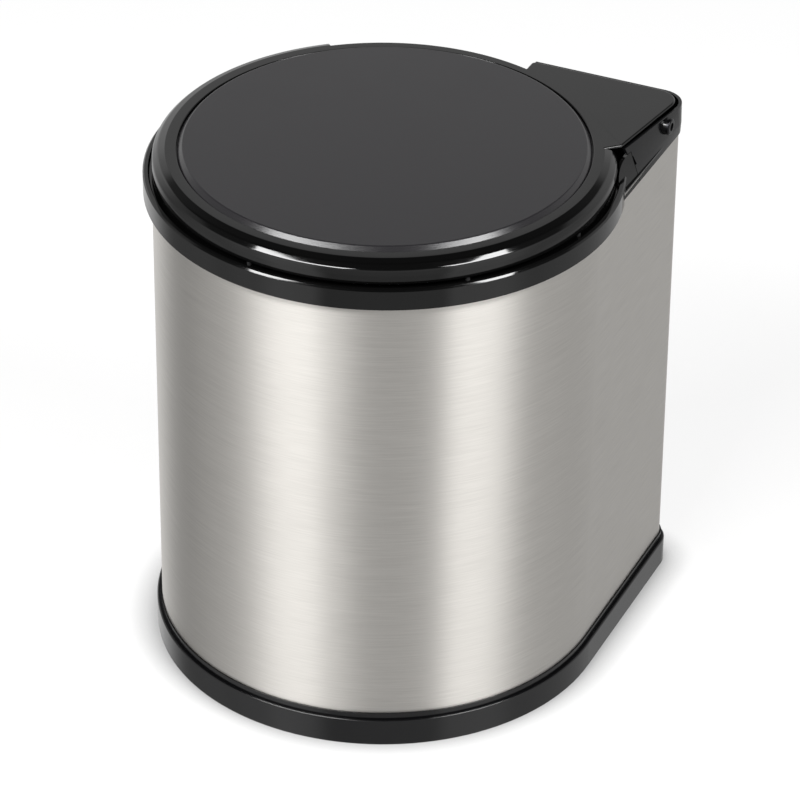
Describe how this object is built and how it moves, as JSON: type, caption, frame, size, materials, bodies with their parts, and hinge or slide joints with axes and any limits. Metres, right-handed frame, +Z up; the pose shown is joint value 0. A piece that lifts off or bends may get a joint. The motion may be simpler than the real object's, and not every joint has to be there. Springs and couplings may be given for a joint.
{
  "type": "built-in trash can",
  "caption": "Round steel waste bin that swings out of a cabinet, with a hinged plastic lid, moulded rim and base, squared hinge corner and lift-out inner bucket.",
  "frame": {"origin": "on the floor under the base, on the axis of the round part of the bin", "axes": "+X to the right towards the side with the straight wall, +Y to the back where the hinge and the wall plate are, +Z up"},
  "size_m": [0.27, 0.2865, 0.3181],
  "materials": {
    "brushed_steel_sheet": "fine horizontal brushing",
    "aluminium_rivet": "plain",
    "black_gloss_plastic": "gloss moulding",
    "black_satin_plastic": "satin moulding",
    "black_rubber": "soft",
    "grey_plastic": "satin moulding",
    "zinc_steel": "bright zinc plating"
  },
  "bodies": {
    "bin": {"steel_shell": "brushed_steel_sheet", "seam_strip": "brushed_steel_sheet", "seam_rivets": "aluminium_rivet", "base_tray": "black_satin_plastic", "rim_ring": "black_gloss_plastic", "hinge_housing": "black_satin_plastic", "housing_screws": "zinc_steel", "lid_bumpers": "black_rubber", "hinge_rod": "zinc_steel", "rod_clip": "zinc_steel", "backing_plate": "zinc_steel", "bracket_screws": "zinc_steel", "lower_pivot_bracket": "zinc_steel", "upper_pivot_bracket": "zinc_steel"},
    "lid": {"lid_shell": "black_gloss_plastic", "lid_panel": "black_satin_plastic"},
    "bucket": {"inner_bucket": "grey_plastic"},
    "bail": {"bail_handle": "zinc_steel", "bail_grip": "grey_plastic"},
    "wall_mount": {"wall_plate": "zinc_steel", "lower_pivot_pin": "zinc_steel", "upper_pivot_pin": "zinc_steel"}
  },
  "joints": [
    {"name": "lid_hinge", "type": "hinge", "parent": "bin", "child": "lid", "pos_m": [0.1, 0.1006, 0.3088], "axis": [-1, 0, 0], "range_deg": [0, 50]},
    {"name": "bucket_lift", "type": "slide", "parent": "bin", "child": "bucket", "axis": [0, 0, 1], "range_m": [0, 0.01]},
    {"name": "bail_hinge", "type": "hinge", "parent": "bucket", "child": "bail", "pos_m": [0, 0, 0.2778], "axis": [-1, 0, 0], "range_deg": [0, 10]},
    {"name": "swing_pivot", "type": "hinge", "parent": "bin", "child": "wall_mount", "pos_m": [0.11, 0.141, 0.167], "axis": [0, 0, -1], "range_deg": [0, 95]}
  ]
}
